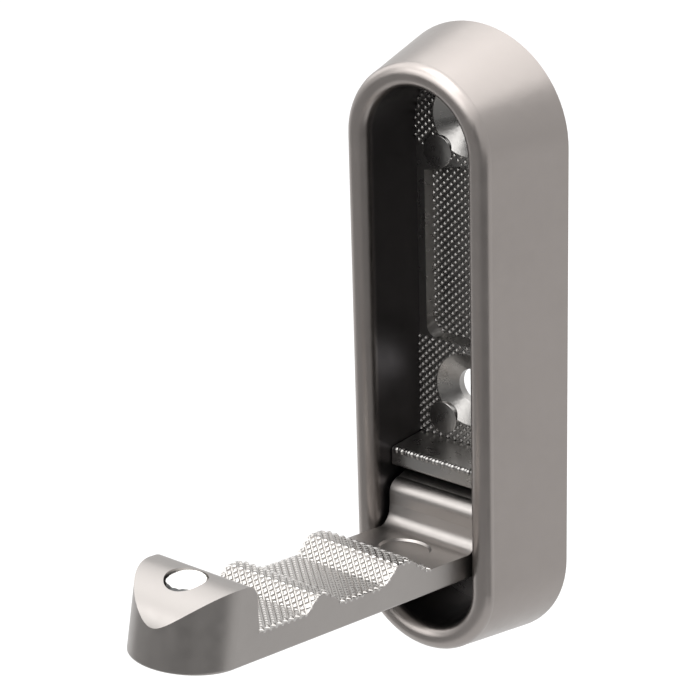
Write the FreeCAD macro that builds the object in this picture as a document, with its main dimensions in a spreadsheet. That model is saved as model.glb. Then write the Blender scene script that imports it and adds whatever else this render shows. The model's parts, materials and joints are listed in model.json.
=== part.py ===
"""Folding wall hook: a cast cover with an open front, and an arm that folds up flush into it.

Millimetres. The wall is the plane y = 0, the front looks along -Y and +Z is up. The origin is the
centre of the back of the cover. The arm is drawn folded down, ready for use.
"""
import FreeCAD
import Part
import Sketcher

import math
import os
import re

SIZES = {
    # cover
    "back_width": 25.1,
    "back_height": 76.2,
    "cover_depth": 12.1,
    "opening_width": 13.9,
    "opening_height": 66.8,
    "bead_radius": 1.4,
    "rim_wall": 1.65,
    # base plate
    "plate_thickness": 2.25,
    "plate_fit": 0.1,
    "ledge_reach": 8.3,
    "ledge_top": 13.0,
    "ledge_thickness": 2.4,
    "ledge_side_gap": 0.15,
    "ledge_round": 0.5,
    "panel_width": 11.8,
    "panel_bottom": -0.6,
    "panel_shoulder": 20.1,
    "panel_peak": 21.7,
    "panel_depth": 1.35,
    "panel_round": 1.6,
    "panel_draft": 18.0,
    # wall screws
    "lower_hole": -6.1,
    "hole_spacing": 33.4,
    "hole_diameter": 4.4,
    "sink_diameter": 9.0,
    "sink_angle": 120.0,
    # hinge
    "pivot_out": 6.0,
    "pivot_drop": 20.0,
    "pin_diameter": 2.6,
    "pin_clearance": 0.05,
    "pin_seat": 1.75,
    "pin_end_gap": 0.1,
    "keeper_fit": 0.1,
    # arm
    "arm_tilt": 9.65,
    "side_gap": 0.5,
    "tip_gap": 0.5,
    "tip_lean": 4.0,
    "flush_recess": 0.05,
    "stop_gap": 0.1,
    "stop_height": 3.6,
    "arm_thickness": 3.07,
    "barrel_radius": 2.7,
    "heel_reach": 2.9,
    "heel_round": 1.6,
    "heel_fillet": 0.7,
    "rear_ridge_start": 12.8,
    "rear_crest_start": 16.2,
    "rear_crest_end": 18.6,
    "rear_ridge_end": 20.7,
    "rear_ridge_height": 5.1,
    "valley_thickness": 3.1,
    "mid_ridge_start": 28.4,
    "mid_crest_start": 31.0,
    "mid_crest_end": 33.0,
    "mid_ridge_end": 34.5,
    "mid_ridge_height": 4.9,
    "ridge_round": 1.1,
    "tip_valley_thickness": 3.3,
    "knob_length": 10.3,
    "knob_height": 8.97,
    "knob_round": 1.9,
    "knob_fillet": 0.4,
    "crown_radius": 6.85,
    "crown_margin": 0.1,
    "trim_margin": 1.0,
    "edge_round": 0.35,
    "mark_diameter": 6.2,
    "mark_place": 8.5,
    "mark_depth": 0.25,
    "mark_draft": 45.0,
    # catch magnet
    "magnet_diameter": 4.7,
    "magnet_length": 3.0,
    "magnet_fit": 0.05,
    "magnet_setback": 5.4,
    "magnet_sink": 0.3,
    "magnet_chamfer": 0.2,
    # plate screws
    "screw_diameter": 1.4,
    "screw_head_diameter": 2.6,
    "screw_head_angle": 90.0,
    "screw_length": 6.0,
    "screw_fit": 0.05,
    "screw_edge": 1.6,
}

doc = FreeCAD.newDocument("folding_wall_hook")
sheet = doc.addObject("Spreadsheet::Sheet", "Sizes")
for row, (alias, size) in enumerate(SIZES.items(), start=1):
    sheet.set(f"A{row}", alias)
    sheet.set(f"B{row}", str(size))
    sheet.setAlias(f"B{row}", alias)
doc.recompute()


def formula(text):
    """A size formula in plain names, with each name pointed at its cell."""
    return re.sub(r"[a-z_]+", lambda word: f"Sizes.{word[0]}" if word[0] in SIZES else word[0], text)


def number(text):
    """What a size formula comes to."""
    return float(sheet.evalExpression(formula(text)))


def bind(thing, **settings):
    """Tie properties of an object to size formulas; a double underscore stands for a dot."""
    for name, text in settings.items():
        thing.setExpression(name.replace("__", "."), formula(text))


# Formulas that several pieces share
HALF_OPENING = "(opening_width / 2)"
BEAD_OUT = "(cover_depth - bead_radius)"
PLATE_WIDTH = "(back_width - 2 * rim_wall - 2 * plate_fit)"
PLATE_HEIGHT = "(back_height - 2 * rim_wall - 2 * plate_fit)"
PIN_SPAN = "(opening_width + 2 * pin_seat)"
PIN_BORE = "(pin_diameter / 2 + pin_clearance)"
SCREW_PLACE = f"({PLATE_HEIGHT} / 2 - screw_edge)"
TILT = "(arm_tilt * 1 deg)"
LEAN = f"tan{TILT}"
PIVOT_HEIGHT = "(cover_depth - pivot_out - flush_recess)"
REACH = "(opening_height / 2 + pivot_drop - tip_gap)"
ARM_WIDTH = "(opening_width - 2 * side_gap)"
STOP = "(pivot_out - plate_thickness - stop_gap)"
CROWN_CENTRE = f"({REACH} + crown_margin - crown_radius)"
CROWN_TURN = f"asin(({REACH} - magnet_setback - {CROWN_CENTRE}) / crown_radius)"
KNOB_START = f"({REACH} - knob_length)"


def body(name):
    part = doc.addObject("PartDesign::Body", name)
    part.Label = name
    return part


def sketch(part, name, plane, lift=None):
    """A sketch on one of the body's own planes, lifted along the plane's normal."""
    drawing = part.newObject("Sketcher::SketchObject", name)
    planes = {datum.Role: datum for datum in part.Origin.OriginFeatures}
    drawing.AttachmentSupport = (planes[f"{plane}_Plane"], [""])
    drawing.MapMode = "FlatFace"
    if lift:
        bind(drawing, AttachmentOffset__Base__z=lift)
    return drawing


def dimension(drawing, kind, text, *where):
    """One driving dimension of a sketch, tied to a size formula."""
    index = drawing.addConstraint(Sketcher.Constraint(kind, *where, number(text)))
    drawing.setExpression(f"Constraints[{index}]", formula(text))


def place(drawing, geometry, point, across, up):
    dimension(drawing, "DistanceX", across, -1, 1, geometry, point)
    dimension(drawing, "DistanceY", up, -1, 1, geometry, point)


def polygon(drawing, corners):
    """A closed outline of straight lines with every corner placed from the origin."""
    spots = [FreeCAD.Vector(number(across), number(up)) for across, up in corners]
    first = drawing.GeometryCount
    for start, end in zip(spots, spots[1:] + spots[:1]):
        drawing.addGeometry(Part.LineSegment(start, end))
    for index, (across, up) in enumerate(corners):
        before = first + (index - 1) % len(corners)
        drawing.addConstraint(Sketcher.Constraint("Coincident", before, 2, first + index, 1))
        place(drawing, first + index, 1, across, up)


def rectangle(drawing, left, right, low, high):
    polygon(drawing, [(left, low), (right, low), (right, high), (left, high)])


def circle(drawing, across, up, radius):
    centre = FreeCAD.Vector(number(across), number(up))
    ring = drawing.addGeometry(Part.Circle(centre, FreeCAD.Vector(0, 0, 1), number(radius)))
    place(drawing, ring, 3, across, up)
    dimension(drawing, "Radius", radius, ring)


def obround(drawing, width, height):
    """Two half circles joined by straight flanks, centred on the origin and upright."""
    radius = number(f"{width} / 2")
    rise = number(f"({height} - {width}) / 2")
    normal = FreeCAD.Vector(0, 0, 1)
    top = Part.Circle(FreeCAD.Vector(0, rise), normal, radius)
    low = Part.Circle(FreeCAD.Vector(0, -rise), normal, radius)
    drawing.addGeometry(Part.ArcOfCircle(top, 0, math.pi))
    drawing.addGeometry(Part.LineSegment(FreeCAD.Vector(-radius, rise), FreeCAD.Vector(-radius, -rise)))
    drawing.addGeometry(Part.ArcOfCircle(low, math.pi, 2 * math.pi))
    drawing.addGeometry(Part.LineSegment(FreeCAD.Vector(radius, -rise), FreeCAD.Vector(radius, rise)))
    for index in range(4):
        drawing.addConstraint(Sketcher.Constraint("Tangent", index, 2, (index + 1) % 4, 1))
    drawing.addConstraint(Sketcher.Constraint("Vertical", 1))
    place(drawing, 0, 3, "0", f"({height} - {width}) / 2")
    dimension(drawing, "DistanceY", f"-({height} - {width}) / 2", -1, 1, 2, 3)
    dimension(drawing, "Radius", f"{width} / 2", 0)


def feature(part, kind, name, drawing, **settings):
    """A feature made from one sketch; text settings are size formulas, others are set as given."""
    made = part.newObject(f"PartDesign::{kind}", name)
    made.Profile = (drawing, [""])
    for key, setting in settings.items():
        if key in ("Length", "TaperAngle"):
            bind(made, **{key: setting})
        else:
            setattr(made, key, setting)
    doc.recompute()
    return made


def cross_edges(made, spots):
    """Names of the straight edges along X that pass through the given places in the YZ plane."""
    places = [(number(along), number(up)) for along, up in spots]
    names = []
    for index, edge in enumerate(made.Shape.Edges, start=1):
        start, end = edge.Vertexes[0].Point, edge.Vertexes[-1].Point
        runs_across = abs(start.x - end.x) > 1e-3 and math.hypot(start.y - end.y, start.z - end.z) < 1e-4
        if runs_across and any(math.hypot(start.y - y, start.z - z) < 1e-3 for y, z in places):
            names.append(f"Edge{index}")
    return names


def depth_edges(made, spots):
    """Names of the edges that run back from the given corners of the plate's front face."""
    face = -number("plate_thickness")
    corners = [FreeCAD.Vector(number(across), face, number(up)) for across, up in spots]
    names = []
    for index, edge in enumerate(made.Shape.Edges, start=1):
        ends = [vertex.Point for vertex in edge.Vertexes]
        leaves_face = abs(ends[0].y - ends[-1].y) > 1e-3
        if leaves_face and any(end.distanceToPoint(corner) < 1e-3 for end in ends for corner in corners):
            names.append(f"Edge{index}")
    return names


def fillet(part, name, made, edges, radius):
    rounded = part.newObject("PartDesign::Fillet", name)
    rounded.Base = (made, edges)
    bind(rounded, Radius=radius)
    doc.recompute()
    return rounded


def make_housing():
    """The cover: a flared skirt with a round bead at its open front, hollow from front to back."""
    part = body("housing")
    foot = sketch(part, "skirt_foot", "XZ")
    obround(foot, "back_width", "back_height")
    crease = sketch(part, "skirt_crease", "XZ", BEAD_OUT)
    obround(crease, "(opening_width + 4 * bead_radius)", "(opening_height + 4 * bead_radius)")
    feature(part, "AdditiveLoft", "skirt", foot, Sections=[(crease, [""])], Ruled=True)

    path = sketch(part, "bead_path", "XZ", BEAD_OUT)
    obround(path, "(opening_width + 2 * bead_radius)", "(opening_height + 2 * bead_radius)")
    section = sketch(part, "bead_section", "XY")
    circle(section, f"{HALF_OPENING} + bead_radius", f"-{BEAD_OUT}", "bead_radius")
    feature(part, "AdditivePipe", "bead", section, Spine=(path, [""]))

    cavity = sketch(part, "cavity_outline", "XZ")
    obround(cavity, "opening_width", "opening_height")
    feature(part, "Pocket", "cavity", cavity, Type="ThroughAll", Reversed=True)
    seat = sketch(part, "plate_seat_outline", "XZ")
    obround(seat, "(back_width - 2 * rim_wall)", "(back_height - 2 * rim_wall)")
    feature(part, "Pocket", "plate_seat", seat, Length="plate_thickness", Reversed=True)

    # The pin drops into a round-ended slot from behind
    slot = sketch(part, "pin_slot_outline", "XZ")
    low, high = f"-pivot_drop - {PIN_BORE}", f"-pivot_drop + {PIN_BORE}"
    rectangle(slot, f"-{PIN_SPAN} / 2", f"{PIN_SPAN} / 2", low, high)
    feature(part, "Pocket", "pin_slot", slot, Length="pivot_out", Reversed=True)
    bore = sketch(part, "pin_bore_outline", "YZ")
    circle(bore, "-pivot_out", "-pivot_drop", PIN_BORE)
    feature(part, "Pocket", "pin_bore", bore, Length=PIN_SPAN, SideType="Symmetric")

    pilots = sketch(part, "screw_pilots_outline", "XZ")
    for side in ("", "-"):
        circle(pilots, "0", f"{side}{SCREW_PLACE}", "screw_diameter / 2 + screw_fit")
    feature(part, "Pocket", "screw_pilots", pilots, Length="screw_length + screw_fit", Reversed=True)
    return part


def make_base_plate():
    """The plate behind the cavity: panel recess, screw holes, stop ledge and the pin's keepers."""
    part = body("base_plate")
    flange = sketch(part, "flange_outline", "XZ")
    obround(flange, PLATE_WIDTH, PLATE_HEIGHT)
    feature(part, "Pad", "flange", flange, Length="plate_thickness")

    ledge = sketch(part, "ledge_outline", "XZ")
    half_ledge = f"({HALF_OPENING} - ledge_side_gap)"
    rectangle(ledge, f"-{half_ledge}", half_ledge, "-ledge_top - ledge_thickness", "-ledge_top")
    shelf = feature(part, "Pad", "ledge", ledge, Length="ledge_reach")
    front = [("-ledge_reach", "-ledge_top"), ("-ledge_reach", "-ledge_top - ledge_thickness")]
    fillet(part, "ledge_edges", shelf, cross_edges(shelf, front), "ledge_round")

    keepers = sketch(part, "keepers_outline", "XZ")
    inner = f"({HALF_OPENING} + keeper_fit)"
    outer = f"({PIN_SPAN} / 2 - keeper_fit)"
    half_keeper = f"({PIN_BORE} - keeper_fit)"
    low, high = f"-pivot_drop - {half_keeper}", f"-pivot_drop + {half_keeper}"
    rectangle(keepers, inner, outer, low, high)
    rectangle(keepers, f"-{outer}", f"-{inner}", low, high)
    feature(part, "Pad", "keepers", keepers, Length=f"pivot_out - {PIN_BORE}")

    panel = sketch(part, "panel_outline", "XZ", "plate_thickness")
    half_panel = "panel_width / 2"
    polygon(panel, [
        (f"-{half_panel}", "panel_bottom"),
        (half_panel, "panel_bottom"),
        (half_panel, "panel_shoulder"),
        ("0", "panel_peak"),
        (f"-{half_panel}", "panel_shoulder"),
    ])
    sunk = feature(part, "Pocket", "panel", panel, Length="panel_depth", TaperAngle="-panel_draft")
    corners = [(half_panel, "panel_bottom"), (f"-{half_panel}", "panel_bottom")]
    fillet(part, "panel_corners", sunk, depth_edges(sunk, corners), "panel_round")

    holes = sketch(part, "wall_holes_outline", "XZ", "plate_thickness")
    for up in ("lower_hole", "lower_hole + hole_spacing"):
        circle(holes, "0", up, "hole_diameter / 2")
    drilled = feature(part, "Hole", "wall_holes", holes, DepthType="ThroughAll", ThreadType="None")
    bind(drilled, Diameter="hole_diameter")
    drilled.HoleCutType = "Countersink"
    drilled.HoleCutCustomValues = True
    bind(drilled, HoleCutDiameter="sink_diameter", HoleCutCountersinkAngle="sink_angle")

    clear = sketch(part, "screw_holes_outline", "XZ")
    for side in ("", "-"):
        circle(clear, "0", f"{side}{SCREW_PLACE}", "screw_diameter / 2 + screw_fit")
    bored = feature(part, "Hole", "screw_holes", clear, DepthType="ThroughAll", ThreadType="None")
    bored.Reversed = True
    bind(bored, Diameter="screw_diameter + 2 * screw_fit")
    bored.HoleCutType = "Countersink"
    bored.HoleCutCustomValues = True
    bind(bored, HoleCutDiameter="screw_head_diameter + 2 * screw_fit")
    bind(bored, HoleCutCountersinkAngle="screw_head_angle")
    doc.recompute()
    return part


def at_pivot(thing):
    """Hang an object on the hinge line, turned to the arm's angle when it is down."""
    thing.Placement = FreeCAD.Placement(FreeCAD.Vector(), FreeCAD.Rotation(FreeCAD.Vector(1, 0, 0), -1))
    bind(thing, Placement__Base__y="-pivot_out", Placement__Base__z="-pivot_drop")
    bind(thing, Placement__Rotation__Angle="-arm_tilt * 1 deg")


def arm_spot(out, height):
    """A place on the arm's side: how far out from the hinge, and how high above the underside."""
    return f"-({out})", f"({height}) - {PIVOT_HEIGHT}"


def tip_trim(drawing):
    """What is cut away outside the half-round tip, seen along its wall, with the tip on the origin."""
    half = f"({ARM_WIDTH} / 2)"
    centre = half
    beyond = "-trim_margin"
    wide = f"({half} + trim_margin)"
    middle = FreeCAD.Vector(0, number(centre))
    ring = Part.Circle(middle, FreeCAD.Vector(0, 0, 1), number(half))
    arc = drawing.addGeometry(Part.ArcOfCircle(ring, math.pi, 2 * math.pi))
    place(drawing, arc, 3, "0", centre)
    dimension(drawing, "Radius", half, arc)
    spots = [
        (half, centre),
        (wide, centre),
        (wide, beyond),
        (f"-{wide}", beyond),
        (f"-{wide}", centre),
        (f"-{half}", centre),
    ]
    points = [FreeCAD.Vector(number(across), number(up)) for across, up in spots]
    lines = [drawing.addGeometry(Part.LineSegment(*pair)) for pair in zip(points, points[1:])]
    drawing.addConstraint(Sketcher.Constraint("Coincident", arc, 2, lines[0], 1))
    drawing.addConstraint(Sketcher.Constraint("Coincident", lines[-1], 2, arc, 1))
    for before, after in zip(lines, lines[1:]):
        drawing.addConstraint(Sketcher.Constraint("Coincident", before, 2, after, 1))
    for line, (across, up) in zip(lines[1:], spots[1:]):
        place(drawing, line, 1, across, up)
    dimension(drawing, "DistanceY", centre, -1, 1, arc, 1)
    dimension(drawing, "DistanceY", centre, -1, 1, arc, 2)


def underside_edges(made):
    """Names of the edges round the flat underside, apart from the hinge end."""
    level = -number(PIVOT_HEIGHT)
    names = []
    for index, edge in enumerate(made.Shape.Edges, start=1):
        heights = [vertex.Z for vertex in edge.Vertexes]
        across = [vertex.X for vertex in edge.Vertexes]
        straight_across = edge.Curve.TypeId == "Part::GeomLine" and abs(across[0] - across[-1]) > 1e-3
        if max(abs(height - level) for height in heights) < 1e-4 and not straight_across:
            names.append(f"Edge{index}")
    return names


def tilted_sketch(part, name, along, up, turn):
    """A sketch that looks up, moved to a place in the YZ plane and turned about X there."""
    drawing = sketch(part, name, "XY")
    about_x = FreeCAD.Rotation(FreeCAD.Vector(1, 0, 0), 1)
    drawing.AttachmentOffset = FreeCAD.Placement(FreeCAD.Vector(), about_x)
    bind(drawing, AttachmentOffset__Base__y=along, AttachmentOffset__Base__z=up)
    bind(drawing, AttachmentOffset__Rotation__Angle=turn)
    return drawing


def crown_sketch(part, name, sink):
    """A sketch square to the knob's crown where the magnet sits, sunk below it."""
    out = f"({CROWN_CENTRE} + (crown_radius - {sink}) * sin({CROWN_TURN}))"
    height = f"(knob_height - crown_radius + (crown_radius - {sink}) * cos({CROWN_TURN}))"
    along, up = arm_spot(out, height)
    return tilted_sketch(part, name, along, up, CROWN_TURN)


def make_hook_arm():
    """The arm in its own frame: hinge on the origin, underside flat, tip towards -Y."""
    part = body("hook_arm")
    at_pivot(part)
    heel_top = f"({PIVOT_HEIGHT} + barrel_radius)"
    heel_corner = arm_spot(f"heel_reach + {LEAN} * ({heel_top} - arm_thickness)", heel_top)
    heel_foot = arm_spot("heel_reach", "arm_thickness")
    ridges = [
        arm_spot("rear_ridge_start", "arm_thickness"),
        arm_spot("rear_crest_start", "rear_ridge_height"),
        arm_spot("rear_crest_end", "rear_ridge_height"),
        arm_spot("rear_ridge_end", "valley_thickness"),
        arm_spot("mid_ridge_start", "valley_thickness"),
        arm_spot("mid_crest_start", "mid_ridge_height"),
        arm_spot("mid_crest_end", "mid_ridge_height"),
        arm_spot("mid_ridge_end", "tip_valley_thickness"),
    ]
    knob_foot = arm_spot(KNOB_START, "tip_valley_thickness")
    knob_rise = "(knob_height - tip_valley_thickness)"
    knob_ridge = arm_spot(f"{KNOB_START} + {LEAN} * {knob_rise}", "knob_height")
    crown_end = arm_spot(f"{REACH} + crown_margin", "knob_height")
    stop_foot = arm_spot(f"-({STOP} + {PIVOT_HEIGHT} * sin{TILT}) / cos{TILT}", "0")
    above_stop = f"({PIVOT_HEIGHT} - stop_height)"
    stop_head = arm_spot(f"-({STOP} + {above_stop} * sin{TILT}) / cos{TILT}", "stop_height")
    side = sketch(part, "side_outline", "YZ")
    polygon(side, [
        stop_foot,
        stop_head,
        ("0", "0"),
        ("0", "barrel_radius"),
        heel_corner,
        heel_foot,
        *ridges,
        knob_foot,
        knob_ridge,
        crown_end,
        arm_spot(f"{REACH} + crown_margin", "0"),
    ])
    feature(part, "Pad", "bar", side, Length=ARM_WIDTH, SideType="Symmetric")
    barrel = sketch(part, "barrel_outline", "YZ")
    circle(barrel, "0", "0", "barrel_radius")
    blank = feature(part, "Pad", "barrel", barrel, Length=ARM_WIDTH, SideType="Symmetric")

    # The saddle's soft steps, the heel and the knob's crown
    rounds = [
        ("heel_corner_round", [heel_corner], "heel_round"),
        ("heel_foot_fillet", [heel_foot], "heel_fillet"),
        ("ridge_rounds", ridges, "ridge_round"),
        ("knob_foot_fillet", [knob_foot], "knob_fillet"),
        ("knob_ridge_round", [knob_ridge], "knob_round"),
        ("crown", [crown_end], "crown_radius"),
    ]
    for name, spots, radius in rounds:
        blank = fillet(part, name, blank, cross_edges(blank, spots), radius)

    # The tip is trimmed half round, its wall leaning back as it rises
    along, up = arm_spot(REACH, "0")
    tip = tilted_sketch(part, "tip_outline", along, up, "-tip_lean * 1 deg")
    tip_trim(tip)
    trimmed = feature(part, "Pocket", "tip", tip, Type="ThroughAll", SideType="Symmetric")
    fillet(part, "underside_round", trimmed, underside_edges(trimmed), "edge_round")

    bore = sketch(part, "bore_outline", "YZ")
    circle(bore, "0", "0", "pin_diameter / 2")
    feature(part, "Pocket", "bore", bore, Length="opening_width", SideType="Symmetric")
    mark = sketch(part, "mark_outline", "XY", f"arm_thickness - {PIVOT_HEIGHT}")
    circle(mark, "0", "-mark_place", "mark_diameter / 2")
    feature(part, "Pocket", "mark", mark, Length="mark_depth", TaperAngle="-mark_draft")
    seat = crown_sketch(part, "magnet_seat_outline", "0")
    circle(seat, "0", "0", "magnet_diameter / 2 + magnet_fit")
    feature(part, "Pocket", "magnet_seat", seat, Length="magnet_sink + magnet_length")
    return part


def make_catch_magnet():
    """The disc in the knob that clings to the upper wall screw when the arm is folded up."""
    part = body("catch_magnet")
    at_pivot(part)
    face = crown_sketch(part, "magnet_outline", "magnet_sink")
    circle(face, "0", "0", "magnet_diameter / 2")
    disc = feature(part, "Pad", "disc", face, Length="magnet_length", Reversed=True)
    rims = [f"Edge{index}" for index, edge in enumerate(disc.Shape.Edges, start=1) if edge.isClosed()]
    chamfer = part.newObject("PartDesign::Chamfer", "rims")
    chamfer.Base = (disc, rims)
    bind(chamfer, Size="magnet_chamfer")
    return part


def make_plate_screws():
    """Two countersunk screws from behind, through the plate into the cover."""
    screws = []
    for name, side in (("upper", ""), ("lower", "-")):
        head = doc.addObject("Part::Cone", f"{name}_head")
        bind(head, Radius1="screw_head_diameter / 2", Radius2="screw_diameter / 2")
        bind(head, Height="(screw_head_diameter - screw_diameter) / 2 / tan(screw_head_angle / 2 * 1 deg)")
        shank = doc.addObject("Part::Cylinder", f"{name}_shank")
        bind(shank, Radius="screw_diameter / 2", Height="screw_length")
        for solid in (head, shank):
            towards_front = FreeCAD.Rotation(FreeCAD.Vector(1, 0, 0), 90)
            solid.Placement = FreeCAD.Placement(FreeCAD.Vector(), towards_front)
            bind(solid, Placement__Base__z=f"{side}{SCREW_PLACE}")
        screw = doc.addObject("Part::Fuse", f"{name}_screw")
        screw.Base = head
        screw.Tool = shank
        screws.append(screw)
    group = doc.addObject("Part::Compound", "plate_screws")
    group.Label = "plate_screws"
    group.Links = screws
    return group


def make_hinge_pin():
    """The cross pin, pressed in the heel and turning in the cover's slots."""
    pin = doc.addObject("Part::Cylinder", "hinge_pin")
    pin.Label = "hinge_pin"
    pin.Placement = FreeCAD.Placement(FreeCAD.Vector(), FreeCAD.Rotation(FreeCAD.Vector(0, 1, 0), 90))
    bind(pin, Radius="pin_diameter / 2", Height=f"{PIN_SPAN} - 2 * pin_end_gap")
    bind(pin, Placement__Base__x=f"-({PIN_SPAN} / 2 - pin_end_gap)")
    bind(pin, Placement__Base__y="-pivot_out", Placement__Base__z="-pivot_drop")
    return pin


pieces = [
    make_housing(),
    make_base_plate(),
    make_hook_arm(),
    make_hinge_pin(),
    make_catch_magnet(),
    make_plate_screws(),
]
doc.recompute()

for thing in doc.Objects:
    if "Invalid" in thing.State or "Error" in thing.State:
        raise RuntimeError(f"{thing.Label} did not compute: {thing.State}")
os.makedirs("parts", exist_ok=True)
for piece in pieces:
    if piece.Shape.isNull() or not piece.Shape.isValid():
        raise RuntimeError(f"{piece.Label} has no valid shape")
    print(piece.Label, len(piece.Shape.Solids), round(piece.Shape.Volume, 1), piece.Shape.BoundBox)
    piece.Shape.exportStep(f"parts/{piece.Label}.step")
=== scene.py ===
"""Folding wall hook: looks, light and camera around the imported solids.

Metres, in the solids' frame.
"""
import json
import math
from bisect import bisect_right

import bpy
from mathutils import Matrix, Vector


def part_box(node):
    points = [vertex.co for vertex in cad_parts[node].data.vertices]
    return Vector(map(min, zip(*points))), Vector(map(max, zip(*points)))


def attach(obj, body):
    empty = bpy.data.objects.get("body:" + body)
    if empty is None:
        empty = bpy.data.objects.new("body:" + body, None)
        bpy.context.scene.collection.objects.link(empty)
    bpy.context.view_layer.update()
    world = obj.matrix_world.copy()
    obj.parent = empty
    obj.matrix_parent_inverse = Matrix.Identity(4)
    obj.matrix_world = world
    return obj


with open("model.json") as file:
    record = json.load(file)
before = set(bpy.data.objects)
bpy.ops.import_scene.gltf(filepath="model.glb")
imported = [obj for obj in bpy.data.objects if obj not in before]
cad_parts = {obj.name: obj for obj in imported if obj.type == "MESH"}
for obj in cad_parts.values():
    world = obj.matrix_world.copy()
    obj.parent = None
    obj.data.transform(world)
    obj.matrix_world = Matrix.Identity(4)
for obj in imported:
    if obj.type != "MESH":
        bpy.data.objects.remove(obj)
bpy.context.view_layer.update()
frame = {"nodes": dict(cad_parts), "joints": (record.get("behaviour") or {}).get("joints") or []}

MM = 0.001
UPRIGHT = math.radians(90)
ROUND_SIDES = 48

# The arm's hinge; the arm stands upright in the cover at the end of its range
hinge = frame["joints"][0]
PIVOT = Vector(hinge["pos_m"])
ARM_TILT = math.radians(90 - hinge["range_deg"][1])

# Diamond knurl
KNURL_PITCH = 1.0 * MM
KNURL_ROOT = 0.25 * MM
KNURL_LIFT = 0.02 * MM
KNURL_CREASE = math.radians(25)
SADDLE_POINT = {
    "groove": 0.07 * MM,
    "flank": 0.08 * MM,
    "height": 0.2 * MM,
    "dome": 0.08 * MM,
}
PLATE_POINT = {
    "groove": 0.12 * MM,
    "flank": 0.08 * MM,
    "height": 0.15 * MM,
    "dome": 0.09 * MM,
}
SADDLE_STEP = 0.1 * MM
SADDLE_START = 12.1 * MM
SADDLE_END = 42.6 * MM
SADDLE_MARGIN = 0.05 * MM
SADDLE_ABOVE = 20 * MM
SADDLE_SPAN = 2

# Points near the arm's sides stand lower, down to this share of their height
SADDLE_FADE = 0.6 * MM
SADDLE_LEAST = 0.15

# Rounded heel of the arm, in the arm's own frame from the hinge
HEEL_RADIUS = 3.35 * MM
HEEL_FOOT = -3.3 * MM
ARM_TOP = -2.98 * MM
HEEL_FILLET = 1.7 * MM
HEEL_SIDE = 0.02 * MM
HEEL_OVERLAP = 0.5 * MM
HEEL_SIDES = 128
HEEL_CREASE = math.radians(30)

# Base plate
PLATE_FACE = -2.25 * MM
PANEL_FLOOR = -0.9 * MM
PANEL_WIDTH = 11.8 * MM
PANEL_BOTTOM = -0.6 * MM
PANEL_SHOULDER = 20.1 * MM
PANEL_PEAK = 21.7 * MM
LEDGE_TOP = -13.0 * MM
LEDGE_FRONT = -8.3 * MM
LUMP_RADIUS = 0.46 * MM
LUMP_INSET = 0.3 * MM
LUMP_STEP = 0.46 * MM
LUMP_ROW = 0.95
LUMP_PHASE = 2.4
LUMP_DRIFT = 0.2
LUMP_LENGTH = 1.2
LUMP_LENGTH_SWAY = 0.3
LUMP_DEPTH = 0.95
LUMP_DEPTH_SWAY = 0.15
OPENING_WIDTH = 13.9 * MM
OPENING_HEIGHT = 66.8 * MM
SINK_RADIUS = 4.55 * MM
LOWER_HOLE = -6.1 * MM
UPPER_HOLE = 27.3 * MM
PAD_RADIUS = 2.0 * MM
PAD_PROUD = 0.18 * MM
PAD_ROOT = 0.5 * MM
PAD_EDGE = 0.12 * MM
PAD_SEGMENTS = 3
PAD_CREASE = math.radians(40)
UPPER_PAD = (3.9 * MM, 22.8 * MM)
LOWER_PAD = (3.6 * MM, -10.5 * MM)
CUTTER_DEPTH = 10 * MM
MIDDLE_MARGIN = 0.01 * MM

# Metal finishes: the scale and detail of each pattern, and how far it reaches
MOTTLE = (90, 3)
MOTTLE_SHARE = 0.05
SHEEN = (700, 4)
SHEEN_SHARE = 0.03
GRAIN = (9000, 2)
GRAIN_DEPTH = 0.01 * MM
SKIN = (2200, 1)
SKIN_DEPTH = 0.06 * MM

# Painted shade: the cover's recess walls and the gap round the magnet
RECESS_LIP = -11.2 * MM
RECESS_FADE = 1 * MM
RECESS_FROM = 0.03 * MM
RECESS_TO = 0.12 * MM
MAGNET_RIM = 2.27 * MM
MAGNET_BLUR = 0.04 * MM
WANDER = (900, 1)
WANDER_REACH = 0.2 * MM

# Camera, from the photograph's own perspective
CAMERA_EYE = Vector((176.402, -241.51, 126.302)) * MM
CAMERA_AZIMUTH = math.radians(39.085)
CAMERA_ELEVATION = math.radians(23.089)
CAMERA_ROLL = math.radians(-1.647)
CAMERA_LENS = 143.31
CAMERA_NEAR = 0.01
CAMERA_FAR = 20

# Studio
ROOM_LIGHT = 0.35
FLOOR_HEIGHT = -120 * MM
FLOOR_SIZE = 6
FLOOR_SHADE = 0.2
FLOOR_GLOW = 0.7
PAINT_ROUGHNESS = 0.9
CLOTH_SHADE = 0.2
CARD_SHADE = 0.1
FLAG_LIFT = 1 * MM

# Each lamp's name, place, target, width, height and watts
LAMPS = [
    ("overhead_lamp", (-0.1, 0, 0.85), (-0.1, 0, 0), 2.1, 2.1, 22),
    ("zenith_lamp", (-0.02, -0.05, 0.95), (0, 0, 0), 0.8, 0.8, 5.5),
    ("front_top_lamp", (0.15, -0.85, 0.75), (0, 0, 0), 0.9, 0.9, 3.5),
    ("front_lamp", (-0.3, -1.1, 0.6), (0, 0, 0), 1.7, 0.8, 9.4),
    ("left_lamp", (-0.95, 0.05, 0.45), (0, 0, 0), 0.6, 0.6, 1.7),
]


def settle(piece, body, material):
    """Put a finished piece on its body and its finish."""
    piece.data.materials.clear()
    piece.data.materials.append(material)
    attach(piece, body)


def fresh():
    """Nothing selected, so that the next operator touches only the new piece."""
    bpy.ops.object.select_all(action="DESELECT")


def work_out(nodes, links, operation, *values):
    """One sum on sockets and plain numbers."""
    node = nodes.new("ShaderNodeMath")
    node.operation = operation
    for socket, value in zip(node.inputs, values):
        if isinstance(value, (int, float)):
            socket.default_value = value
        else:
            links.new(value, socket)
    return node.outputs["Value"]


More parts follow.
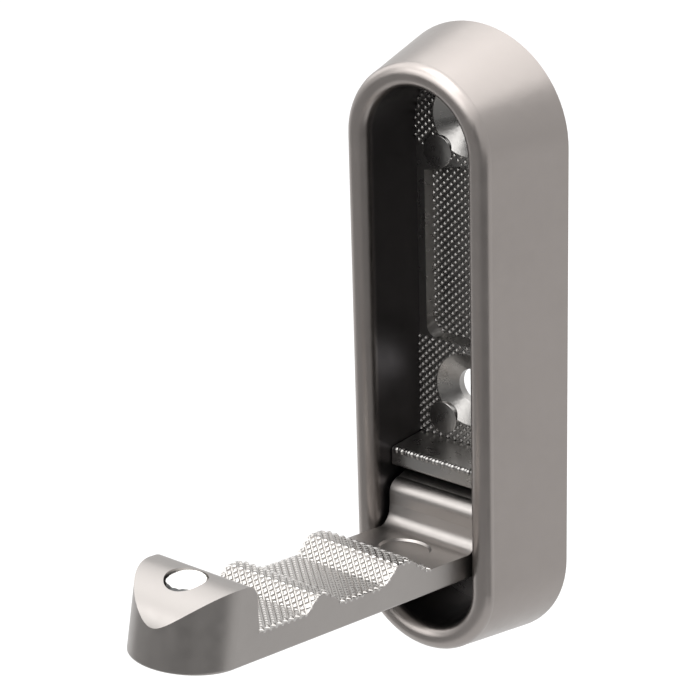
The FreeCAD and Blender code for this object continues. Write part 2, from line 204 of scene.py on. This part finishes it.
def noise(nodes, links, scale, detail):
    """Fine mottling that stays put on the piece."""
    place = nodes.new("ShaderNodeTexCoord")
    texture = nodes.new("ShaderNodeTexNoise")
    texture.inputs["Scale"].default_value = scale
    texture.inputs["Detail"].default_value = detail
    links.new(place.outputs["Object"], texture.inputs["Vector"])
    return texture.outputs["Fac"]


def ranged(nodes, links, value, low, high, start=0.3, end=0.7):
    """The same pattern, spread between two values."""
    spread = nodes.new("ShaderNodeMapRange")
    spread.inputs["From Min"].default_value = start
    spread.inputs["From Max"].default_value = end
    spread.inputs["To Min"].default_value = low
    spread.inputs["To Max"].default_value = high
    links.new(value, spread.inputs["Value"])
    return spread.outputs["Result"]


def satin_metal(name, colour, roughness, grain, skin=0):
    """Blasted and plated casting: mottled colour, uneven sheen, a fine grain and a rough skin."""
    material = bpy.data.materials.new(name)
    material.use_nodes = True
    nodes, links = material.node_tree.nodes, material.node_tree.links
    shader = nodes["Principled BSDF"]
    shader.inputs["Metallic"].default_value = 1.0

    mottle = noise(nodes, links, *MOTTLE)
    tone = nodes.new("ShaderNodeMix")
    tone.data_type = "RGBA"
    tone.inputs["A"].default_value = (*[(1 - MOTTLE_SHARE) * part for part in colour], 1)
    tone.inputs["B"].default_value = (*[(1 + MOTTLE_SHARE) * part for part in colour], 1)
    links.new(mottle, tone.inputs["Factor"])
    links.new(tone.outputs["Result"], shader.inputs["Base Color"])

    sheen = noise(nodes, links, *SHEEN)
    uneven = ranged(nodes, links, sheen, roughness - SHEEN_SHARE, roughness + SHEEN_SHARE)
    links.new(uneven, shader.inputs["Roughness"])

    bump = nodes.new("ShaderNodeBump")
    bump.inputs["Strength"].default_value = grain
    bump.inputs["Distance"].default_value = GRAIN_DEPTH
    links.new(noise(nodes, links, *GRAIN), bump.inputs["Height"])
    links.new(bump.outputs["Normal"], shader.inputs["Normal"])
    if skin:
        rough = nodes.new("ShaderNodeBump")
        rough.inputs["Strength"].default_value = skin
        rough.inputs["Distance"].default_value = SKIN_DEPTH
        links.new(noise(nodes, links, *SKIN), rough.inputs["Height"])
        links.new(rough.outputs["Normal"], bump.inputs["Normal"])
    return material


def paint_shade(material, mask, colour):
    """Painted shade: a darker colour on part of a finish."""
    nodes, links = material.node_tree.nodes, material.node_tree.links
    shader = nodes["Principled BSDF"]
    blend = nodes.new("ShaderNodeMix")
    blend.data_type = "RGBA"
    blend.inputs["B"].default_value = (*colour, 1)
    links.new(shader.inputs["Base Color"].links[0].from_socket, blend.inputs["A"])
    links.new(mask(nodes, links), blend.inputs["Factor"])
    links.new(blend.outputs["Result"], shader.inputs["Base Color"])


def painted_recess_shade(nodes, links):
    """Painted shade on the walls of the cover's recess: a darker colour where shade falls inside
    it.
    """
    place = nodes.new("ShaderNodeTexCoord")
    split = nodes.new("ShaderNodeSeparateXYZ")
    links.new(place.outputs["Object"], split.inputs["Vector"])
    height = work_out(nodes, links, "ABSOLUTE", split.outputs["Z"])
    past = work_out(nodes, links, "SUBTRACT", height, (OPENING_HEIGHT - OPENING_WIDTH) / 2)
    past = work_out(nodes, links, "MAXIMUM", past, 0)
    across = work_out(nodes, links, "POWER", split.outputs["X"], 2)
    spread = work_out(nodes, links, "ADD", across, work_out(nodes, links, "POWER", past, 2))
    radius = work_out(nodes, links, "SQRT", spread)
    wall = OPENING_WIDTH / 2
    inside = ranged(nodes, links, radius, 1, 0, wall + RECESS_FROM, wall + RECESS_TO)
    behind = ranged(nodes, links, split.outputs["Y"], 0, 1, RECESS_LIP, RECESS_LIP + RECESS_FADE)
    return work_out(nodes, links, "MULTIPLY", inside, behind)


def painted_magnet_gap_shade(nodes, links):
    """Painted shade: a broken dark line round the edge of the magnet's face, where the thin gap
    round it lies in shade.
    """
    low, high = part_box("catch_magnet")
    place = nodes.new("ShaderNodeTexCoord")
    offset = nodes.new("ShaderNodeVectorMath")
    offset.operation = "SUBTRACT"
    links.new(place.outputs["Object"], offset.inputs[0])
    offset.inputs[1].default_value = (low + high) / 2
    turned = nodes.new("ShaderNodeVectorMath")
    turned.operation = "CROSS_PRODUCT"
    links.new(offset.outputs["Vector"], turned.inputs[0])
    turned.inputs[1].default_value = (0, math.sin(ARM_TILT), math.cos(ARM_TILT))
    radius = nodes.new("ShaderNodeVectorMath")
    radius.operation = "LENGTH"
    links.new(turned.outputs["Vector"], radius.inputs[0])
    wander = ranged(nodes, links, noise(nodes, links, *WANDER), -WANDER_REACH, WANDER_REACH)
    edge = work_out(nodes, links, "ADD", radius.outputs["Value"], wander)
    return ranged(nodes, links, edge, 0, 1, MAGNET_RIM - MAGNET_BLUR, MAGNET_RIM + MAGNET_BLUR)


def knurled_sheet(name, width, length, point):
    """A flat patch of diamond points in the XY plane, trimmed square and closed below."""
    side = KNURL_PITCH / math.sqrt(2)
    count = math.ceil((width + length) / math.sqrt(2) / side) + 2
    fresh()
    bpy.ops.mesh.primitive_grid_add(x_subdivisions=count, y_subdivisions=count, size=count * side)
    sheet = bpy.context.object
    sheet.name = name
    sheet.rotation_euler.z = math.radians(45)
    bpy.ops.object.transform_apply(location=False, rotation=True, scale=True)
    bpy.ops.object.mode_set(mode="EDIT")
    bpy.ops.mesh.select_all(action="SELECT")
    bpy.ops.mesh.inset(use_individual=True, thickness=point["groove"])
    bpy.ops.mesh.inset(use_individual=True, thickness=point["flank"], depth=point["height"])
    bpy.ops.mesh.poke(offset=point["dome"])
    for across, along in ((1, 0), (-1, 0), (0, 1), (0, -1)):
        edge = (across * width / 2, along * length / 2, 0)
        bpy.ops.mesh.select_all(action="SELECT")
        bpy.ops.mesh.bisect(plane_co=edge, plane_no=(across, along, 0), clear_outer=True)
    bpy.ops.mesh.select_all(action="SELECT")
    bpy.ops.mesh.extrude_region_move(TRANSFORM_OT_translate={"value": (0, 0, -KNURL_ROOT)})
    bpy.ops.mesh.select_all(action="SELECT")
    bpy.ops.mesh.normals_make_consistent(inside=False)
    bpy.ops.object.mode_set(mode="OBJECT")
    bpy.ops.object.shade_smooth_by_angle(angle=KNURL_CREASE)
    return sheet


def saddle_profile(turn):
    """Points along the middle of the saddle's top, from knob to heel, in the arm's own frame."""
    arm = frame["nodes"]["hook_arm"]
    down = turn.to_3x3() @ Vector((0, 0, -1))
    steps = round((SADDLE_END - SADDLE_START) / SADDLE_STEP)
    points = []
    for step in range(steps + 1):
        above = Vector((0, step * SADDLE_STEP - SADDLE_END, SADDLE_ABOVE))
        _, spot, _, _ = arm.ray_cast(turn @ above, down)
        points.append(turn.inverted() @ spot)
    return points


def saddle_knurl():
    """The points on the arm's saddle, laid along its ridges and valleys."""
    turn = Matrix.Translation(PIVOT) @ Matrix.Rotation(-ARM_TILT, 4, "X")
    points = saddle_profile(turn)
    run = [0]
    for start, end in zip(points, points[1:]):
        run.append(run[-1] + (end - start).length)
    normals = []
    last = len(points) - 1
    for index in range(len(points)):
        ahead = points[min(index + SADDLE_SPAN, last)] - points[max(index - SADDLE_SPAN, 0)]
        normals.append(Vector((0, -ahead.z, ahead.y)).normalized())

    low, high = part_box("hook_arm")
    width = high.x - low.x - 2 * SADDLE_MARGIN
    sheet = knurled_sheet("saddle_knurl", width, run[-1], SADDLE_POINT)
    for vertex in sheet.data.vertices:
        reach = min(max(vertex.co.y + run[-1] / 2, 0), run[-1])
        index = min(bisect_right(run, reach), last)
        share = (reach - run[index - 1]) / (run[index] - run[index - 1])
        spot = points[index - 1].lerp(points[index], share)
        normal = normals[index - 1].lerp(normals[index], share).normalized()
        spot.x = vertex.co.x
        rise = vertex.co.z
        if rise > 0:
            inward = width / 2 - abs(vertex.co.x)
            rise *= min(1, max(SADDLE_LEAST, inward / SADDLE_FADE))
        vertex.co = turn @ (spot + normal * (KNURL_LIFT + rise))
    sheet.data.update()
    return sheet


def plate_knurl(name, face, low, high, width):
    """Points on a flat of the base plate, between two heights."""
    sheet = knurled_sheet(name, width, high - low, PLATE_POINT)
    place = Matrix.Translation((0, face - KNURL_LIFT, (low + high) / 2))
    sheet.data.transform(place @ Matrix.Rotation(UPRIGHT, 4, "X"))
    return sheet


def cut(piece, cutter, operation):
    """Cut a piece with a solid, which is used up."""
    fresh()
    bpy.context.view_layer.objects.active = piece
    boolean = piece.modifiers.new("cut", "BOOLEAN")
    boolean.operation = operation
    boolean.object = cutter
    boolean.solver = "EXACT"
    bpy.ops.object.modifier_apply(modifier=boolean.name)
    bpy.data.objects.remove(cutter)


def post(across, up, radius):
    """A round cutter that runs through the plate from front to back."""
    fresh()
    bpy.ops.mesh.primitive_cylinder_add(
        vertices=ROUND_SIDES,
        radius=radius,
        depth=CUTTER_DEPTH,
        location=(across, 0, up),
        rotation=(UPRIGHT, 0, 0),
    )
    return bpy.context.object


def upper_land_outline():
    """The shape of the plate above its panel: round at the top, a shallow gable below."""
    centre = (OPENING_HEIGHT - OPENING_WIDTH) / 2
    outline = post(0, centre, OPENING_WIDTH / 2)
    bpy.ops.object.transform_apply()
    bpy.ops.object.mode_set(mode="EDIT")
    bpy.ops.mesh.select_all(action="DESELECT")
    bpy.ops.object.mode_set(mode="OBJECT")
    for vertex in outline.data.vertices:
        vertex.select = vertex.co.z < centre - MIDDLE_MARGIN
    bpy.ops.object.mode_set(mode="EDIT")
    bpy.ops.transform.translate(value=(0, 0, -OPENING_WIDTH))
    slope = math.atan2(PANEL_PEAK - PANEL_SHOULDER, PANEL_WIDTH / 2)
    for side in (1, -1):
        bpy.ops.mesh.select_all(action="SELECT")
        bpy.ops.mesh.bisect(
            plane_co=(0, 0, PANEL_PEAK),
            plane_no=(side * math.sin(slope), 0, math.cos(slope)),
            clear_inner=True,
            use_fill=True,
        )
    bpy.ops.object.mode_set(mode="OBJECT")
    return outline


def make_lumps():
    """The uneven row of small lumps that casting leaves along the ledge's front edge."""
    fresh()
    bpy.ops.mesh.primitive_ico_sphere_add(subdivisions=2, radius=LUMP_RADIUS)
    first = bpy.context.object
    first.name = "ledge_lumps"
    bpy.ops.object.shade_smooth()
    shape = first.data.copy()
    count = int(LUMP_ROW * OPENING_WIDTH / LUMP_STEP)
    for index in range(count):
        sway = math.sin(LUMP_PHASE * index)
        place = Vector((
            (index - (count - 1) / 2 + LUMP_DRIFT * sway) * LUMP_STEP,
            LEDGE_FRONT + LUMP_INSET,
            LEDGE_TOP - LUMP_INSET,
        ))
        length = LUMP_LENGTH + LUMP_LENGTH_SWAY * sway
        depth = LUMP_DEPTH - LUMP_DEPTH_SWAY * sway
        lump = first if index == 0 else first.copy()
        lump.data = shape.copy()
        lump.data.transform(Matrix.Translation(place) @ Matrix.Diagonal((length, depth, 1, 1)))
        if index:
            bpy.context.scene.collection.objects.link(lump)
        lump.select_set(True)
    bpy.context.view_layer.objects.active = first
    bpy.ops.object.join()
    return first


def block(low, high):
    """A plain block between two corners."""
    fresh()
    bpy.ops.mesh.primitive_cube_add(size=1, location=(low + high) / 2)
    piece = bpy.context.object
    piece.scale = high - low
    bpy.ops.object.transform_apply()
    return piece


def roller(radius, width, along, up):
    """A round bar across the arm."""
    fresh()
    bpy.ops.mesh.primitive_cylinder_add(
        vertices=HEEL_SIDES,
        radius=radius,
        depth=width,
        location=(0, along, up),
        rotation=(0, UPRIGHT, 0),
    )
    bpy.ops.object.transform_apply()
    return bpy.context.object


def make_heel():
    """The arm's rounded heel, with the hollow sweep where it runs out into the arm's top."""
    low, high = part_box("hook_arm")
    half = (high.x - low.x) / 2 - HEEL_SIDE
    front = -HEEL_RADIUS
    toe = front - HEEL_FILLET
    heel = roller(HEEL_RADIUS, 2 * half, 0, 0)
    heel.name = "heel"
    cut(heel, block(Vector((-half, front, HEEL_FOOT)), Vector((half, 0, 0))), "UNION")
    brow = ARM_TOP + HEEL_FILLET
    sweep = block(Vector((-half, toe, HEEL_FOOT)), Vector((half, front + HEEL_OVERLAP, brow)))
    cut(sweep, roller(HEEL_FILLET, 4 * half, toe, brow), "DIFFERENCE")
    cut(heel, sweep, "UNION")
    heel.data.transform(Matrix.Translation(PIVOT) @ Matrix.Rotation(-ARM_TILT, 4, "X"))
    fresh()
    heel.select_set(True)
    bpy.context.view_layer.objects.active = heel
    bpy.ops.object.shade_smooth_by_angle(angle=HEEL_CREASE)
    return heel


def make_pads(name, pad):
    """A pair of low round pads, one on each side of the plate's middle."""
    fresh()
    bpy.ops.mesh.primitive_cylinder_add(
        vertices=ROUND_SIDES,
        radius=PAD_RADIUS,
        depth=PAD_PROUD + PAD_ROOT,
        location=(pad[0], PLATE_FACE + (PAD_ROOT - PAD_PROUD) / 2, pad[1]),
        rotation=(UPRIGHT, 0, 0),
    )
    right = bpy.context.object
    bpy.ops.object.transform_apply()
    bpy.ops.object.mode_set(mode="EDIT")
    bpy.ops.mesh.select_all(action="DESELECT")
    bpy.ops.object.mode_set(mode="OBJECT")
    for edge in right.data.edges:
        ends = [right.data.vertices[index].co.y for index in edge.vertices]
        edge.select = max(ends) < PLATE_FACE
    bpy.ops.object.mode_set(mode="EDIT")
    bpy.ops.mesh.select_mode(type="EDGE")
    bpy.ops.mesh.bevel(offset=PAD_EDGE, segments=PAD_SEGMENTS)
    bpy.ops.mesh.select_all(action="SELECT")
    bpy.ops.mesh.duplicate_move(TRANSFORM_OT_translate={"value": (-2 * pad[0], 0, 0)})
    bpy.ops.object.mode_set(mode="OBJECT")
    bpy.ops.object.shade_smooth_by_angle(angle=PAD_CREASE)
    right.name = name
    return right


def make_knurls():
    """Knurled patches of the arm and the plate."""
    peak = OPENING_HEIGHT / 2
    lower = plate_knurl("lower_land_knurl", PLATE_FACE, LEDGE_TOP, PANEL_BOTTOM, OPENING_WIDTH)
    upper = plate_knurl("upper_land_knurl", PLATE_FACE, PANEL_SHOULDER, peak, OPENING_WIDTH)
    cut(upper, upper_land_outline(), "INTERSECT")
    for land, hole, pad in ((lower, LOWER_HOLE, LOWER_PAD), (upper, UPPER_HOLE, UPPER_PAD)):
        cut(land, post(0, hole, SINK_RADIUS), "DIFFERENCE")
        for side in (1, -1):
            cut(land, post(side * pad[0], pad[1], PAD_RADIUS), "DIFFERENCE")
    panel = plate_knurl("panel_knurl", PANEL_FLOOR, PANEL_BOTTOM, PANEL_PEAK, PANEL_WIDTH)
    return saddle_knurl(), [lower, upper, panel]


def softbox(name, place, target, width, height, power):
    """A soft lamp that looks at a point."""
    lamp = bpy.data.lights.new(name, "AREA")
    lamp.shape = "RECTANGLE"
    lamp.size = width
    lamp.size_y = height
    lamp.energy = power
    box = bpy.data.objects.new(name, lamp)
    box.location = place
    box.rotation_euler = (Vector(target) - Vector(place)).to_track_quat("-Z", "Y").to_euler()
    bpy.context.scene.collection.objects.link(box)


def seen_rays(nodes, links):
    """One for what the camera sees straight on, in metal or through glass; none for other light."""
    path = nodes.new("ShaderNodeLightPath").outputs
    through = work_out(nodes, links, "MAXIMUM", path["Is Glossy Ray"], path["Is Transmission Ray"])
    return work_out(nodes, links, "MAXIMUM", path["Is Camera Ray"], through)


def make_world():
    """A plain room that the camera, metal and glass see as white."""
    world = bpy.data.worlds.new("studio")
    bpy.context.scene.world = world
    world.use_nodes = True
    nodes, links = world.node_tree.nodes, world.node_tree.links
    room = nodes["Background"]
    room.inputs["Color"].default_value = (1, 1, 1, 1)
    room.inputs["Strength"].default_value = ROOM_LIGHT
    white = nodes.new("ShaderNodeBackground")
    white.inputs["Color"].default_value = (1, 1, 1, 1)
    mix = nodes.new("ShaderNodeMixShader")
    links.new(seen_rays(nodes, links), mix.inputs["Fac"])
    links.new(room.outputs["Background"], mix.inputs[1])
    links.new(white.outputs["Background"], mix.inputs[2])
    links.new(mix.outputs["Shader"], nodes["World Output"].inputs["Surface"])


def plain_paint(name, shade):
    """Matt paint or cloth of one grey."""
    paint = bpy.data.materials.new(name)
    paint.use_nodes = True
    shader = paint.node_tree.nodes["Principled BSDF"]
    shader.inputs["Base Color"].default_value = (shade, shade, shade, 1)
    shader.inputs["Roughness"].default_value = PAINT_ROUGHNESS
    return paint


def make_panel(name, place, turn, width, height, paint):
    """A flat panel of the studio: floor, cloth or card."""
    fresh()
    bpy.ops.mesh.primitive_plane_add(size=1, location=place, rotation=turn)
    panel = bpy.context.object
    panel.name = name
    panel.scale = (width, height, 1)
    bpy.ops.object.transform_apply()
    panel.data.materials.append(paint)
    return panel


def pale_floor():
    """Pale paint with a faint glow that the camera, metal and glass see."""
    paint = plain_paint("pale_floor", FLOOR_SHADE)
    nodes, links = paint.node_tree.nodes, paint.node_tree.links
    shader = nodes["Principled BSDF"]
    shader.inputs["Emission Color"].default_value = (1, 1, 1, 1)
    glow = work_out(nodes, links, "MULTIPLY", seen_rays(nodes, links), FLOOR_GLOW)
    links.new(glow, shader.inputs["Emission Strength"])
    return paint


def make_floor():
    """A wide pale floor well below the hook."""
    make_panel("floor", (0, 0, FLOOR_HEIGHT), (0, 0, 0), FLOOR_SIZE, FLOOR_SIZE, pale_floor())


def make_flags():
    """Dark panels that only the metal mirrors: no camera, diffuse light or shadow meets them."""
    cloth = plain_paint("dark_cloth", CLOTH_SHADE)
    card = plain_paint("dark_card", CARD_SHADE)
    level = FLOOR_HEIGHT + FLAG_LIFT
    flags = [
        make_panel("front_cloth", (-0.3, -0.8, level), (0, 0, 0), 2.4, 1.4, cloth),
        make_panel("right_cloth", (0.45, -0.22, level + FLAG_LIFT), (0, 0, 0), 0.6, 0.5, card),
        make_panel("front_card", (0, -1.3, 0.3), (UPRIGHT, 0, 0), 2.6, 0.85, card),
    ]
    for flag in flags:
        flag.visible_camera = False
        flag.visible_diffuse = False
        flag.visible_shadow = False


def make_studio():
    """White room, pale floor, dark flags and soft lamps."""
    make_world()
    make_floor()
    make_flags()
    for lamp in LAMPS:
        softbox(*lamp)


def make_camera():
    """The photograph's camera."""
    back = Vector((
        math.sin(CAMERA_AZIMUTH) * math.cos(CAMERA_ELEVATION),
        -math.cos(CAMERA_AZIMUTH) * math.cos(CAMERA_ELEVATION),
        math.sin(CAMERA_ELEVATION),
    ))
    level = Vector((math.cos(CAMERA_AZIMUTH), math.sin(CAMERA_AZIMUTH), 0))
    view = Matrix((level, back.cross(level), back)).transposed().to_4x4()
    data = bpy.data.cameras.new("photo_camera")
    data.lens = CAMERA_LENS
    data.clip_start = CAMERA_NEAR
    data.clip_end = CAMERA_FAR
    camera = bpy.data.objects.new("photo_camera", data)
    rolled = view @ Matrix.Rotation(CAMERA_ROLL, 4, "Z")
    camera.matrix_world = Matrix.Translation(CAMERA_EYE) @ rolled
    bpy.context.scene.collection.objects.link(camera)
    bpy.context.scene.camera = camera


# Finishes of the solids
cover_nickel = satin_metal("cover_nickel", (0.285, 0.26, 0.246), 0.34, 0.15)
plate_nickel = satin_metal("plate_nickel", (0.27, 0.262, 0.253), 0.29, 0.12, 0.2)
arm_nickel = satin_metal("arm_nickel", (0.285, 0.268, 0.256), 0.36, 0.1)
# Painted light: the arm's knurled top, which catches the light from above, is coloured lighter than
# the rest of the arm
saddle_nickel_painted_lighter = satin_metal("saddle_nickel_painted_lighter", (0.40, 0.386, 0.372), 0.24, 0.05)
pin_steel = satin_metal("pin_steel", (0.45, 0.45, 0.45), 0.3, 0.05)
magnet_nickel = satin_metal("magnet_nickel", (0.75, 0.74, 0.72), 0.25, 0.05)
screw_steel = satin_metal("screw_steel", (0.45, 0.45, 0.46), 0.35, 0.05)
# Painted shade: the walls of the cover's recess are coloured dark
paint_shade(cover_nickel, painted_recess_shade, (0.09, 0.084, 0.086))
# Painted shade: a dark line in the gap round the magnet's face
paint_shade(magnet_nickel, painted_magnet_gap_shade, (0.05, 0.05, 0.05))
finishes = {
    "housing": cover_nickel,
    "base_plate": plate_nickel,
    "hook_arm": arm_nickel,
    "hinge_pin": pin_steel,
    "catch_magnet": magnet_nickel,
    "plate_screws": screw_steel,
}
for node, finish in finishes.items():
    mesh = frame["nodes"][node].data
    mesh.materials.clear()
    mesh.materials.append(finish)

# Pieces that the solids leave out
saddle, lands = make_knurls()
settle(saddle, "arm", saddle_nickel_painted_lighter)
settle(make_heel(), "arm", arm_nickel)
plate_pieces = lands + [
    make_pads("upper_pads", UPPER_PAD),
    make_pads("lower_pads", LOWER_PAD),
    make_lumps(),
]
for piece in plate_pieces:
    settle(piece, "cover", plate_nickel)

make_studio()
make_camera()
bpy.context.scene.view_settings.view_transform = "Standard"
